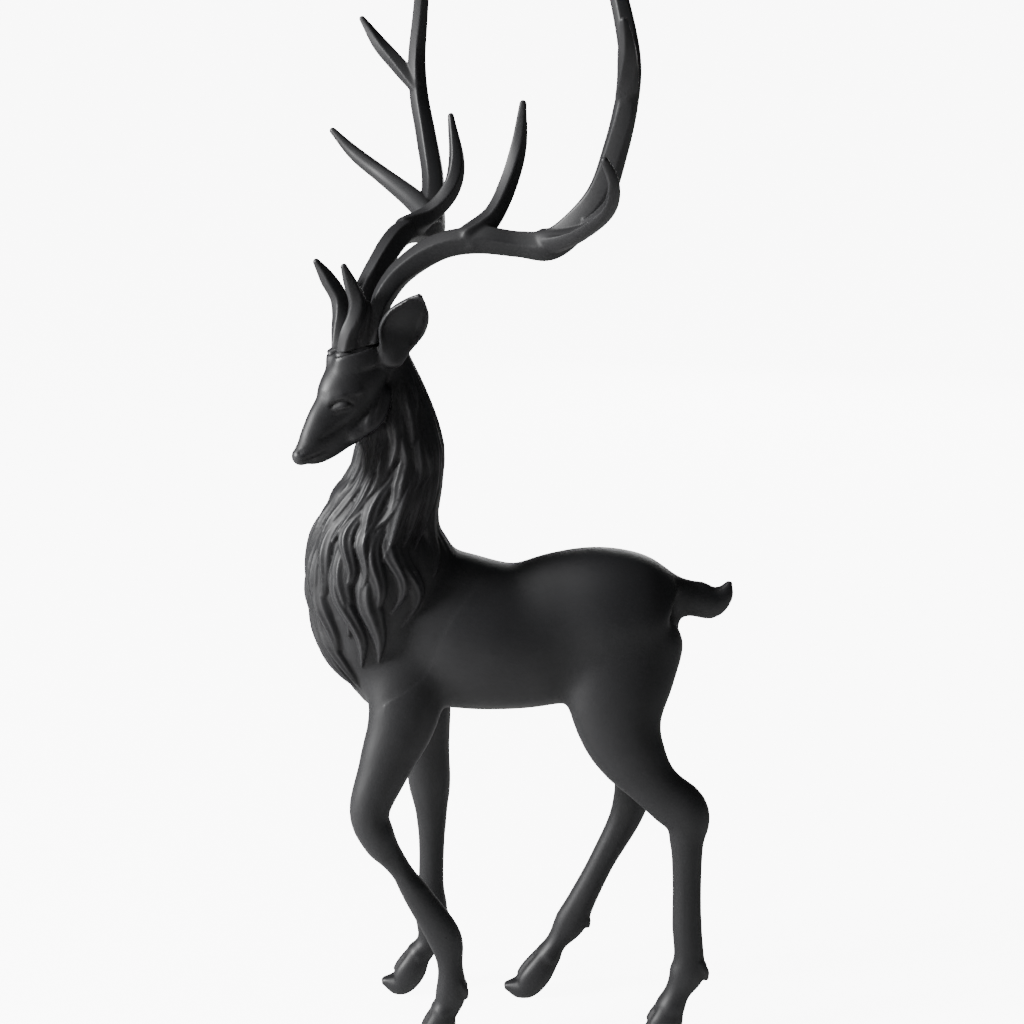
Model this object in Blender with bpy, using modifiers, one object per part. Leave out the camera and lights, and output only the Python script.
"""Standing stag with swept antlers: a cast resin figure in three castings.

The body is one casting, from the muzzle to the tail and down to the four hooves, with the locks of the mane
carved on the neck and chest. Each antler is a casting of its own, whose oval foot stands in a shallow seat in the
forehead.

Frame: +Z up, the stag looks along -X, its left side is -Y. The origin is on the ground, under the middle of the
figure's box. The pose is drawn in shares of the figure's height: a drawn length of 1 is one 630th of it, and
the soles are at 0.
"""

import math

import bmesh
import bpy
import numpy as np
from mathutils import Matrix, Vector

# Driving dimensions, in metres and degrees
STATUE_HEIGHT = 0.63
SEAT_DEPTH = 0.0025
SEAT_GAP = 0.0003
HEAD_TURN = math.radians(28.0)
HEAD_TILT = math.radians(2.6)

# One drawn length, in metres
DRAWN = STATUE_HEIGHT / 630.0

# Resin finish
RESIN_COLOUR = (0.013, 0.013, 0.0145, 1.0)
RESIN_ROUGHNESS = 0.5
RESIN_METALLIC = 0.0

# Trunk and neck, in rows of centre x, y, z, half-depth and half-width
TRUNK = [
    (-74, 0, 225, 30, 25),
    (-42, 0, 228.5, 42, 33),
    (-17, 0, 224.3, 41, 36),
    (4, 0, 222.3, 39, 35),
    (25, 0, 226.5, 41, 33),
    (45, 0, 230.5, 40, 35),
    (59, 0, 231.2, 36.9, 34),
    (70, 0, 228.4, 32.6, 32),
    (77, 0, 225, 26.5, 27),
    (82, 0, 225, 18, 19),
    (85, 0, 225, 6, 7),
]
NECK = [
    (-63, -4, 376, 10, 11),
    (-59.5, -3, 352, 17, 15.5),
    (-57.3, -2, 329, 21.8, 20),
    (-61.3, -1, 308, 25.3, 24),
    (-69, 0, 287, 31.5, 28),
    (-68, 0, 262, 38.5, 32),
    (-71.5, 0, 238, 32.5, 31),
    (-73.5, 0, 214, 23.3, 26),
    (-71.5, 0, 198, 12.5, 17),
]
TAIL = [
    (74, 0, 247.6, 12.2, 10),
    (87, 0, 244, 10.6, 8),
    (98, 0, 240.5, 10.6, 7),
    (107, 0, 239, 9.4, 6.5),
    (113.5, 0, 243, 6, 5),
    (116.5, 0, 249, 2.2, 2.5),
]

# Legs, from the shoulder or hip down to the pastern, then each hoof from its coronet to its toe
LEGS = {
    "left_fore": [
        (-57, -17, 218, 23, 13),
        (-59, -23, 190, 19.5, 14),
        (-69.5, -28, 162, 14, 11.5),
        (-78, -31, 138, 10.8, 10),
        (-72.5, -31.5, 121, 9.4, 9.2),
        (-61.5, -31, 104, 6.8, 7.4),
        (-52, -30.5, 87, 7.8, 7),
        (-39, -30, 64, 9.4, 7),
        (-36, -30, 47, 7, 6.8),
        (-35.6, -30, 31.5, 8.6, 7.5),
        (-38.4, -30, 21, 6.6, 7.2),
    ],
    "right_fore": [
        (-52, 17, 208, 20, 13),
        (-47, 24, 180, 16, 13),
        (-44.5, 30, 150, 12.6, 11),
        (-43, 33, 128, 11.8, 9.8),
        (-42, 35, 110, 9, 8),
        (-42, 36, 90, 7.4, 6.6),
        (-42.5, 37, 66, 7.4, 6.6),
        (-42.5, 38, 48, 9.4, 7.6),
        (-43.5, 38, 32, 6.8, 7),
        (-48, 38, 24, 7, 7.4),
    ],
    "left_hind": [
        (62.2, -14, 226, 29.8, 18.5),
        (54.6, -22, 200, 29.2, 16.5),
        (56.5, -27, 175, 22, 14),
        (71, -31, 150, 15, 10.5),
        (89.5, -32, 131.5, 13.4, 9.5),
        (91, -32, 114, 9.2, 8),
        (91.5, -32, 92, 8, 6.8),
        (92, -32, 66, 8.2, 6.8),
        (93.4, -32, 49, 8.4, 7.2),
        (92.4, -32, 38.5, 10, 8),
        (87.6, -32, 28, 7, 7.4),
    ],
    "right_hind": [
        (59, 14, 224, 28, 18.5),
        (56, 20, 192, 26, 16),
        (64, 24, 163, 16, 13),
        (70.5, 26, 136, 13.5, 10),
        (67, 26, 110, 9.6, 8.2),
        (53, 26, 81, 7.4, 6.8),
        (42.2, 27, 58, 8, 7.2),
        (35.4, 28, 43, 9.3, 7.6),
        (27.6, 28, 31.5, 6, 6.8),
    ],
}
HOOVES = {
    "left_fore": [
        (-39.5, -30, 22, 7.2, 8.4),
        (-42, -30, 13, 8.4, 9.2),
        (-47, -30, 4.5, 7.6, 8.4),
        (-54.5, -30, 3, 2.6, 3.2),
    ],
    "right_fore": [
        (-49, 38, 24, 7.2, 8),
        (-54.5, 38, 13.5, 8.2, 9),
        (-61, 38, 5.5, 6.8, 7.8),
        (-69.5, 38, 6.5, 2.4, 3),
    ],
    "left_hind": [
        (84, -32, 20, 8, 8.6),
        (81, -32, 11, 8.8, 9.4),
        (75.5, -32, 3.5, 7.8, 8.4),
        (67.5, -32, 2.5, 2.6, 3.2),
    ],
    "right_hind": [
        (24, 28, 25, 7.4, 8.2),
        (16, 28, 13, 8.2, 9.2),
        (8.5, 28, 5, 6.8, 7.8),
        (-0.5, 28, 5.5, 2.4, 3),
    ],
}
HOOF_CLEFT = 1.6
DEWCLAW = 3.4
DEWCLAW_SPREAD = 3.6
DEWCLAWS = {
    "left_fore": (-29, -30, 33.5),
    "right_fore": (-35, 38, 45),
    "left_hind": (101.5, -32, 40),
    "right_hind": (44, 28, 45.5),
}

# Places where the skin runs smoothly from one form into the next: x, y, z and reach
SOFT_JOINTS = [
    (-36, 0, 276, 32),
    (-64, -18, 205, 40),
    (-56, 18, 200, 40),
    (-84, 0, 212, 34),
    (60, -20, 198, 46),
    (60, 20, 194, 46),
    (34, 0, 194, 34),
    (-40, 0, 196, 34),
    (88, 0, 246, 15),
    (72, -30, 150, 24),
    (68, 26, 140, 26),
    (-60, -30, 112, 20),
    (84, -6, 224, 24),
    (-6, 0, 228, 64),
    (38, 0, 228, 60),
]
SKIN_PASSES = 30
SKIN_GRAIN = 2.0

# Head, in its own frame: x forward along the face, y to the stag's left, z up from the poll
POLL = (-66, -5, 375)
SKULL = [
    (50.4, 0, -44.2, 5, 5),
    (44.7, 0, -41.2, 9.4, 6.6),
    (38.7, 0, -36.8, 12.6, 7.9),
    (32.5, 0, -31.3, 15.2, 9),
    (23.4, 0, -23, 18.4, 11.6),
    (17.6, 0, -10.8, 17.6, 13.6),
    (9, 0, -4, 13.5, 13),
    (0, 0, -4, 8, 10.5),
]
BROW = [(35, 5.2, -15.6, 1.8, 2.2), (29.4, 8.4, -13.6, 2.6, 3), (22, 11.4, -12.5, 2.4, 2.8)]
EYE = [(34, 7.4, -21.5, 1.6, 2), (29.5, 10, -18.5, 3, 3.2), (24.5, 12, -17, 1.6, 2)]
CHEEK = [(24, 8, -35, 4, 4), (14, 10, -28, 6, 6), (7, 10, -17, 5, 5)]
EAR_ROOT = (4, 14.6, 1.6)
EAR_TIPS = {"left": (1, 39, 36), "right": (1, 34, 27)}
EAR_OPENING = (0.25, 0.85, -0.45)
EAR_LEAF = [
    (0, 4.4, 6.6, 0),
    (0.2, 5, 9.4, 2),
    (0.42, 5.8, 11.6, 6.2),
    (0.66, 5.2, 10, 6.2),
    (0.86, 3.8, 6.4, 3.6),
    (1, 1.6, 2, 0),
]
EAR_BOW = 3.0

# Mane: locks in rows, each lock a tapered ridge laid on the neck
LOCK_ROWS = 5
LOCKS_IN_ROW = 13
LOCK_SPREAD = 130.0
LOCK_LENGTH = 54.0
LOCK_WIDTH = 5.6
LOCK_RELIEF = 3.0
LOCK_LEAN = 30.0
LOCK_BOW = 24.0
LOCK_STAGGER = 4.0
LOCK_VARIES = 0.12
SIDE_BEARING = 55.0
MANE_HEM = [(0, 193), (45, 197), (73, 210), (100, 223), (112, 243), (132, 262), (180, 276)]
MANE_ROW_STEP = 27.0
ROW_NARROWS = 5.0
ROW_THINS = 0.08
ROW_SHORTENS = 0.05
NAPE_BEARING = 80.0
NAPE_FADE = 75.0

# Antlers, in the head's frame for the left one. The foot's plane slopes with the forehead
ANTLER_SIDE = (0.54, 0.84, 0.0)
ANTLER_FOOT = (18.2, 6.5, 7.6)
FOOT_LENGTH = 25.0
FOOT_WIDTH = 10.4
FOOT_SLOPE = math.radians(12.4)
FOOT_TURN = math.radians(13.0)
FOOT_COLLAR = 5.0
FOOT_RISE = 2.0
FOOT_STEP = 0.8
PEDICLE_RIM = 1.0
PEDICLE_SPLAY = 1.15
PEDICLE_DEPTH = 9.0
TRIM_REACH = 60.0
BEAM = [
    (12, 9, 9, 6, 5.8),
    (10, 9.4, 18, 4.8, 5.8),
    (8, 9.6, 26, 5, 5.8),
    (3.5, 9.8, 35, 5.8, 5.8),
    (-5, 12, 45, 6.4, 6),
    (-16.5, 18.5, 54, 7, 6.2),
    (-27, 26, 58.8, 6.9, 6.2),
    (-39, 35, 60.2, 7, 6.3),
    (-54, 46, 58, 6.6, 6.2),
    (-65, 57, 58, 8, 7.2),
    (-73, 68.5, 68, 7.4, 6.6),
    (-80.5, 80, 84, 7, 6),
    (-83, 90, 106, 6.4, 5.6),
    (-84, 97.5, 126, 6, 5.2),
    (-85, 100.5, 146, 5.6, 4.8),
    (-85, 96, 168, 5, 4.2),
    (-83, 88, 192, 4.4, 3.7),
    (-78, 77, 216, 3.6, 3.1),
    (-71, 67, 236, 2.6, 2.3),
    (-64, 60, 249, 1.3, 1.2),
]
BROW_TINES = {
    "left": [
        (25, 5.6, 8, 4.8, 4.6),
        (24, 7, 16, 4.6, 4.6),
        (21, 9, 24.5, 4.6, 4.6),
        (20.5, 10.5, 33, 4.4, 4.2),
        (25, 12.5, 42.5, 3.4, 3.2),
        (29, 14, 51, 1.8, 1.8),
    ],
    "right": [
        (22.6, 5.6, 8, 4.8, 4.6),
        (21, 7, 16, 4.8, 4.8),
        (18.8, 9, 24.5, 5, 4.8),
        (19.2, 10.5, 33, 4.8, 4.6),
        (24.2, 12.5, 42.5, 4.2, 4),
        (29.4, 14, 51, 1.9, 1.9),
    ],
}
BROW_WEB = [
    (17.4, 7.6, 8, 6.4, 4.4),
    (16.8, 8.2, 16, 5.2, 3.8),
    (14.8, 9, 25, 4, 3.2),
    (14.6, 9.6, 31, 2, 1.8),
]
TINE_C = [
    (-83.5, 98.5, 131, 5.6, 4.6),
    (-77.5, 108.5, 143, 5.2, 4.6),
    (-71, 117.5, 154.5, 4.4, 4),
    (-64.5, 124, 168, 2, 1.8),
]
TINES = {
    "left": [
        [
            (-34, 32, 61, 8, 6),
            (-48.5, 32, 72, 5.4, 5),
            (-59, 30.5, 88, 4.8, 4.2),
            (-64.5, 31.5, 106, 4.2, 3.6),
            (-64.5, 36.5, 127, 1.9, 1.8),
        ],
        [
            (-64, 56, 59, 7.4, 6.4),
            (-67, 79, 67, 6.6, 6.6),
            (-65.5, 104, 79, 6, 5.4),
            (-57.5, 121.5, 92, 4.4, 4),
            (-47.5, 131, 104.5, 1.9, 1.8),
        ],
        TINE_C,
    ],
    "right": [
        [
            (-34, 32, 61, 8, 6),
            (-49, 31.5, 68, 5.4, 5),
            (-60.4, 29.5, 80, 5.4, 4.8),
            (-65.6, 30.5, 95, 4.8, 4.2),
            (-66, 35.5, 118, 1.9, 1.8),
        ],
        [
            (-66, 60, 63, 7.4, 6.4),
            (-66.5, 79, 71.5, 6, 6),
            (-63.5, 104, 82.5, 5, 4.8),
            (-55.5, 121, 94.5, 4.2, 4),
            (-47, 131, 107.5, 2, 1.9),
        ],
        TINE_C,
    ],
}
BEAM_SIDES = 10
TINE_SIDES = 8

# Casting detail of the solids: voxel and number of triangles kept on the body
CASTING_GRAIN = 1.8
BODY_TRIANGLES = 5350
FOOT_SIDES = 24

# The slab that trims the soles, in drawn units
SLAB_WIDTH = 400.0
SLAB_DEPTH = 50.0


def smooth_rows(rows, per_span):
    """Rows of a smooth curve through every given row (Catmull-Rom), each column on its own."""
    table = np.array(rows, float)
    padded = np.vstack([2 * table[0] - table[1], table, 2 * table[-1] - table[-2]])
    curve = []
    for i in range(len(table) - 1):
        a, b, c, d = padded[i:i + 4]
        for k in range(per_span):
            t = k / per_span
            bend = (2 * a - 5 * b + 4 * c - d) * t ** 2 + (3 * b - a - 3 * c + d) * t ** 3
            curve.append(0.5 * (2 * b + (c - a) * t + bend))
    curve.append(table[-1])
    return np.array(curve)


def unit(vectors):
    """Each vector at length one."""
    return vectors / np.linalg.norm(vectors, axis=-1, keepdims=True)


def swept(rows, side=(0.0, 1.0, 0.0), sides=20, per_span=4, dome_rings=3, frame=None):
    """A closed limb whose oval section follows the rows.

    A row is centre x, y, z, half-depth, half-width and, on a leaf, how far its front is hollowed. The width lies
    along side, and both ends close in a dome.
    """
    curve = smooth_rows(rows, per_span)
    centre = curve[:, :3]
    deep = curve[:, 3]
    wide = curve[:, 4]
    hollow = curve[:, 5] if curve.shape[1] > 5 else np.zeros(len(curve))
    along = unit(np.gradient(centre, axis=0))
    across = np.array(side, float) - along * (along @ np.array(side, float))[:, None]
    across = unit(across)
    up = np.cross(across, along)
    rings = []
    order = [(0, -1, math.radians(90.0 * k / dome_rings)) for k in range(dome_rings - 1, 0, -1)]
    order += [(i, 0, 0.0) for i in range(len(curve))]
    order += [(len(curve) - 1, 1, math.radians(90.0 * k / dome_rings)) for k in range(1, dome_rings)]
    angles = np.arange(sides) * 2 * math.pi / sides
    for i, end, lift in order:
        reach = min(deep[i], wide[i]) * math.sin(lift) * end
        shrink = math.cos(lift)
        middle = centre[i] + along[i] * reach
        height = deep[i] * np.cos(angles) - hollow[i] * np.clip(np.cos(angles), 0, 1) ** 2
        ring = middle + shrink * (height[:, None] * up[i] + (wide[i] * np.sin(angles))[:, None] * across[i])
        rings.append(ring)
    start = centre[0] - along[0] * min(deep[0], wide[0])
    stop = centre[-1] + along[-1] * min(deep[-1], wide[-1])
    mesh = bmesh.new()
    rows_of_verts = []
    for ring in rings:
        rows_of_verts.append([mesh.verts.new(point) for point in ring])
    first = mesh.verts.new(start)
    last = mesh.verts.new(stop)
    for k in range(sides):
        n = (k + 1) % sides
        for lower, upper in zip(rows_of_verts, rows_of_verts[1:]):
            mesh.faces.new((lower[k], lower[n], upper[n], upper[k]))
        mesh.faces.new((first, rows_of_verts[0][n], rows_of_verts[0][k]))
        mesh.faces.new((last, rows_of_verts[-1][k], rows_of_verts[-1][n]))
    if frame is not None:
        mesh.transform(frame)
    bmesh.ops.recalc_face_normals(mesh, faces=mesh.faces)
    return mesh


def ball(centre, radii, frame=None):
    """A small rounded swelling."""
    mesh = bmesh.new()
    bmesh.ops.create_uvsphere(mesh, u_segments=12, v_segments=8, radius=1.0)
    mesh.transform(Matrix.Translation(centre) @ Matrix.Diagonal((*radii, 1.0)))
    if frame is not None:
        mesh.transform(frame)
    return mesh


def head_frame():
    """Matrix from the head's frame to the drawn frame: turned to the left and tilted a little."""
    forward = Vector((-math.cos(HEAD_TURN), -math.sin(HEAD_TURN), 0.0))
    left = Vector((math.sin(HEAD_TURN), -math.cos(HEAD_TURN), 0.0))
    up = Vector((0.0, 0.0, 1.0))
    tilted_left = left * math.cos(HEAD_TILT) + up * math.sin(HEAD_TILT)
    tilted_up = up * math.cos(HEAD_TILT) - left * math.sin(HEAD_TILT)
    frame = Matrix((forward, tilted_left, tilted_up)).transposed().to_4x4()
    frame.translation = Vector(POLL)
    return frame


def new_object(name, mesh, collection):
    """An object from a bmesh, in the collection, with the bmesh freed."""
    data = bpy.data.meshes.new(name)
    mesh.to_mesh(data)
    mesh.free()
    thing = bpy.data.objects.new(name, data)
    collection.objects.link(thing)
    return thing


def joined(name, pieces, collection):
    """One object that holds all the closed shapes, still as separate shells."""
    whole = bmesh.new()
    for piece in pieces:
        part = bpy.data.meshes.new(name)
        piece.to_mesh(part)
        piece.free()
        whole.from_mesh(part)
        bpy.data.meshes.remove(part)
    return new_object(name, whole, collection)


def settle(thing):
    """Replace an object's mesh with what its modifiers make of it."""
    graph = bpy.context.evaluated_depsgraph_get()
    graph.update()
    data = bpy.data.meshes.new_from_object(thing.evaluated_get(graph))
    thing.modifiers.clear()
    thing.data = data
    return data


def cast_together(thing, grain):
    """Fuse overlapping shells into one skin."""
    remesh = thing.modifiers.new("fuse", "REMESH")
    remesh.mode = "VOXEL"
    remesh.voxel_size = grain
    remesh.adaptivity = 0.0
    settle(thing)


def soften(thing, joints, passes):
    """Smooth the skin near the joints, more at their middle than at their reach."""
    data = thing.data
    places = np.empty(len(data.vertices) * 3)
    data.vertices.foreach_get("co", places)
    places = places.reshape(-1, 3)
    weight = np.zeros(len(places))
    for x, y, z, reach in joints:
        near = 1.0 - np.linalg.norm(places - (x, y, z), axis=1) / reach
        near = np.clip(near * 2.0, 0.0, 1.0)
        weight = np.maximum(weight, near * near * (3.0 - 2.0 * near))
    group = thing.vertex_groups.new(name="soft")
    for step in range(1, 11):
        chosen = np.nonzero(np.round(weight * 10) == step)[0]
        if len(chosen):
            group.add(chosen.tolist(), step / 10.0, "REPLACE")
    smooth = thing.modifiers.new("soften", "SMOOTH")
    smooth.vertex_group = "soft"
    smooth.factor = 0.5
    smooth.iterations = passes
    settle(thing)


def on_neck(height, bearing, lift, neck):
    """A point on the neck at a height, at a bearing from its front, lifted off the skin.

    A positive bearing goes round by the stag's left side.
    """
    x, y, deep, wide = (np.interp(height, neck[:, 2], neck[:, i]) for i in (0, 1, 3, 4))
    turn = math.radians(bearing)
    outward = Vector((-math.cos(turn) * wide, -math.sin(turn) * deep, 0.0)).normalized()
    return Vector((x - deep * math.cos(turn), y - wide * math.sin(turn), height)) + outward * lift


def lock(bearing, tip_height, length, width, relief, neck):
    """One lock of the mane: it leans back at its root, bows to the front and ends in a point.

    The lock is fullest above its tip, and flatter where it goes round to the nape.
    """
    sway = math.copysign(min(abs(bearing) / SIDE_BEARING, 1.0), bearing) if bearing else 0.0
    rows = []
    steps = 7
    for k in range(steps):
        u = k / (steps - 1)
        height = tip_height + length * (1.0 - u)
        turn = bearing + sway * (LOCK_LEAN * (1.0 - u) - LOCK_BOW * math.sin(math.pi * u))
        body = (0.25 + u) ** 0.5 * (1.0 - u) ** 0.55
        fullness = 0.12 + 1.25 * body * (1.0 - 0.7 * max(0.0, (abs(turn) - NAPE_BEARING) / NAPE_FADE))
        point = on_neck(height, turn, relief * (0.30 + 0.35 * u) * fullness, neck)
        rows.append((*point, relief * fullness, width * fullness))
    middle = tip_height + length / 2
    outward = on_neck(middle, bearing, 1.0, neck) - on_neck(middle, bearing, 0.0, neck)
    side = Vector((0.0, 0.0, 1.0)).cross(outward).normalized()
    return swept(rows, side=side, sides=8, per_span=2, dome_rings=2)


def mane():
    """All the locks, row upon row, each row half a lock out of step with the one below."""
    neck = smooth_rows(NECK[::-1], 6)
    hem_bearings = [bearing for bearing, height in MANE_HEM]
    hem_heights = [height for bearing, height in MANE_HEM]
    locks = []
    for row in range(LOCK_ROWS):
        spread = LOCK_SPREAD - ROW_NARROWS * row
        offset = 0.5 * (row % 2)
        count = LOCKS_IN_ROW - row % 2
        for k in range(count):
            bearing = spread * (2.0 * (k + offset) / (LOCKS_IN_ROW - 1) - 1.0)
            stagger = math.sin(2.4 * k + 1.7 * row)
            hem = float(np.interp(abs(bearing), hem_bearings, hem_heights))
            tip = hem + MANE_ROW_STEP * row + LOCK_STAGGER * stagger
            length = LOCK_LENGTH * (1.0 + LOCK_VARIES * stagger) * (1.0 - ROW_SHORTENS * row)
            size = 1.0 - ROW_THINS * row
            locks.append(lock(bearing, tip, length, LOCK_WIDTH * size, LOCK_RELIEF * size, neck))
    return locks


def ear(side, frame):
    """One ear: a leaf with a hollow front, on the left or the right of the head."""
    mirror = 1.0 if side == "left" else -1.0
    root = Vector(EAR_ROOT)
    tip = Vector(EAR_TIPS[side])
    axis = (tip - root).normalized()
    opening = Vector(EAR_OPENING)
    opening = (opening - axis * opening.dot(axis)).normalized()
    rows = []
    for share, deep, wide, hollow in EAR_LEAF:
        point = root.lerp(tip, share) - opening * EAR_BOW * math.sin(math.pi * share)
        rows.append((point.x, point.y * mirror, point.z, deep, wide, hollow))
    across = axis.cross(opening)
    across = Vector((across.x, across.y * mirror, across.z)) * mirror
    return swept(rows, side=across, sides=16, per_span=3, frame=frame)


def mirrored(rows, mirror):
    """The same rows on the other side of the head."""
    return [(row[0], row[1] * mirror, *row[2:]) for row in rows]


def hoof(rows):
    """A cloven hoof: two toes side by side, tapering to their tips."""
    toes = []
    for way in (-1.0, 1.0):
        toe = []
        for x, y, z, deep, wide in rows:
            toe.append((x, y + way * (wide / 2 + HOOF_CLEFT / 4), z, deep, wide / 2))
        toes.append(swept(toe, sides=14, per_span=3))
    return toes


def dewclaws(place):
    """The two small claws behind a fetlock."""
    x, y, z = place
    claws = []
    for way in (-1.0, 1.0):
        claws.append(ball((x, y + way * DEWCLAW_SPREAD, z), (DEWCLAW, DEWCLAW * 0.8, DEWCLAW)))
    return claws


def floor_cutter(collection):
    """A slab under the ground plane, which leaves each hoof a flat sole."""
    mesh = bmesh.new()
    bmesh.ops.create_cube(mesh, size=1.0)
    middle = Matrix.Translation((0.0, 0.0, -SLAB_DEPTH / 2))
    mesh.transform(middle @ Matrix.Diagonal((SLAB_WIDTH, SLAB_WIDTH, SLAB_DEPTH, 1.0)))
    return new_object("floor_cutter", mesh, collection)


def foot_frame(mirror, frame):
    """Matrix of an antler's foot: its plane lies on the forehead and slopes down to the face."""
    place = Matrix.Translation((ANTLER_FOOT[0], ANTLER_FOOT[1] * mirror, ANTLER_FOOT[2]))
    return frame @ place @ Matrix.Rotation(FOOT_SLOPE, 4, "Y") @ Matrix.Rotation(-FOOT_TURN * mirror, 4, "Z")


def oval_block(low, high, length, width, place, splay=1.0):
    """An oval block that stands square on the foot's plane, from one height to another, wider below by a splay."""
    mesh = bmesh.new()
    bmesh.ops.create_cone(mesh, cap_ends=True, segments=FOOT_SIDES, radius1=splay, radius2=1.0, depth=1.0)
    middle = Matrix.Translation((0.0, 0.0, (low + high) / 2))
    mesh.transform(place @ middle @ Matrix.Diagonal((length / 2, width / 2, high - low, 1.0)))
    bmesh.ops.recalc_face_normals(mesh, faces=mesh.faces)
    return mesh


def cut_or_join(thing, tool, operation):
    """Cut another solid out of this one, or add it to this one."""
    change = thing.modifiers.new(tool.name, "BOOLEAN")
    change.operation = operation
    change.solver = "EXACT"
    change.object = tool
    settle(thing)


def resin(name):
    """The black resin of one casting."""
    material = bpy.data.materials.new(name)
    material.use_nodes = True
    shader = material.node_tree.nodes["Principled BSDF"]
    shader.inputs["Base Color"].default_value = RESIN_COLOUR
    shader.inputs["Roughness"].default_value = RESIN_ROUGHNESS
    shader.inputs["Metallic"].default_value = RESIN_METALLIC
    return material


def build_body(parts, cutters, frame):
    """The stag's body as one casting."""
    trunk = [swept(TRUNK, sides=32), swept(NECK, sides=28), swept(TAIL, sides=14)]
    trunk += [swept(rows, sides=18) for rows in LEGS.values()]
    body = joined("reindeer_body", trunk, parts)
    cast_together(body, SKIN_GRAIN)
    soften(body, SOFT_JOINTS, SKIN_PASSES)

    skin = bmesh.new()
    skin.from_mesh(body.data)
    carving = [skin, swept(SKULL, sides=24, frame=frame)]
    for mirror in (1.0, -1.0):
        for rows in (BROW, EYE, CHEEK):
            carving.append(swept(mirrored(rows, mirror), sides=10, frame=frame))
    for mirror in (1.0, -1.0):
        rim = 2 * PEDICLE_RIM
        place = foot_frame(mirror, frame)
        boss = oval_block(-PEDICLE_DEPTH, 0.0, FOOT_LENGTH + rim, FOOT_WIDTH + rim, place, PEDICLE_SPLAY)
        carving.append(boss)
    carving += [ear("left", frame), ear("right", frame)]
    carving += mane()
    for rows in HOOVES.values():
        carving += hoof(rows)
    for place in DEWCLAWS.values():
        carving += dewclaws(place)
    bpy.data.objects.remove(body)
    body = joined("reindeer_body", carving, parts)
    cast_together(body, CASTING_GRAIN)
    thin = body.modifiers.new("thin", "DECIMATE")
    thin.ratio = BODY_TRIANGLES / (2.0 * len(body.data.polygons))
    thin.use_collapse_triangulate = True
    settle(body)

    cut_or_join(body, floor_cutter(cutters), "DIFFERENCE")
    depth = SEAT_DEPTH / DRAWN
    gap = SEAT_GAP / DRAWN
    for side, mirror in (("left", 1.0), ("right", -1.0)):
        place = foot_frame(mirror, frame)
        seat = oval_block(-depth, FOOT_COLLAR + gap, FOOT_LENGTH + 2 * gap, FOOT_WIDTH + 2 * gap, place)
        cut_or_join(body, new_object("seat_" + side, seat, cutters), "DIFFERENCE")
    return body


def build_antler(side, parts, cutters, frame):
    """One antler: oval foot, beam, brow tine and the three tines along the beam."""
    mirror = 1.0 if side == "left" else -1.0
    flat = (ANTLER_SIDE[0], ANTLER_SIDE[1] * mirror, ANTLER_SIDE[2])
    place = foot_frame(mirror, frame)
    beam = swept(mirrored(BEAM, mirror), side=flat, sides=BEAM_SIDES, per_span=2, frame=frame)
    antler = new_object("antler_" + side, beam, parts)
    for k, rows in enumerate([BROW_TINES[side], BROW_WEB, *TINES[side]]):
        limb = swept(mirrored(rows, mirror), side=flat, sides=TINE_SIDES, per_span=2, frame=frame)
        cut_or_join(antler, new_object("tine_%s_%d" % (side, k), limb, cutters), "UNION")

    # Below the collar only what stands inside the foot's oval is kept, and nothing under the foot's middle
    reach = TRIM_REACH
    block = oval_block(-reach, FOOT_COLLAR, 2 * reach, 2 * reach, place)
    around = new_object("around_" + side, block, cutters)
    core = oval_block(-2 * reach, reach, FOOT_LENGTH - FOOT_STEP, FOOT_WIDTH - FOOT_STEP, place)
    inside = new_object("inside_" + side, core, cutters)
    cut_or_join(around, inside, "DIFFERENCE")
    cut_or_join(antler, around, "DIFFERENCE")
    block = oval_block(-reach, FOOT_RISE / 4, 2 * reach, 2 * reach, place)
    below = new_object("below_" + side, block, cutters)
    cut_or_join(antler, below, "DIFFERENCE")
    bottom = (SEAT_GAP - SEAT_DEPTH) / DRAWN
    foot = new_object("foot_" + side, oval_block(bottom, FOOT_RISE, FOOT_LENGTH, FOOT_WIDTH, place), cutters)
    cut_or_join(antler, foot, "UNION")
    return antler


def hide(tools):
    """Keep the cutters out of the finished model."""
    for tool in tools:
        tool.hide_render = True
        tool.display_type = "WIRE"


def stand_on_origin(things):
    """Bring the drawn figure to its real size, its soles on the ground and its box's middle over the origin."""
    corners = []
    for thing in things:
        corners += [vertex.co.copy() for vertex in thing.data.vertices]
    places = np.array([tuple(corner) for corner in corners])
    low = places.min(axis=0)
    high = places.max(axis=0)
    middle = Vector(((low[0] + high[0]) / 2, (low[1] + high[1]) / 2, low[2]))
    for thing in things:
        thing.data.transform(Matrix.Scale(DRAWN, 4) @ Matrix.Translation(-middle))
    print("middle of the drawn box: %.3f %.3f, ground %.3f, top %.3f" % (*middle, high[2]))


def main():
    """Build the three castings."""
    for thing in list(bpy.data.objects):
        bpy.data.objects.remove(thing)
    parts = bpy.data.collections.new("reindeer_statue")
    cutters = bpy.data.collections.new("cutters")
    bpy.context.scene.collection.children.link(parts)
    bpy.context.scene.collection.children.link(cutters)
    frame = head_frame()
    castings = [build_body(parts, cutters, frame)]
    for side in ("left", "right"):
        castings.append(build_antler(side, parts, cutters, frame))
    hide(cutters.objects)
    stand_on_origin(castings)
    for casting in castings:
        casting.data.materials.clear()
        casting.data.materials.append(resin(casting.name + "_resin"))
        casting.data.shade_smooth()
        casting.data.set_sharp_from_angle(angle=math.radians(50.0))


main()
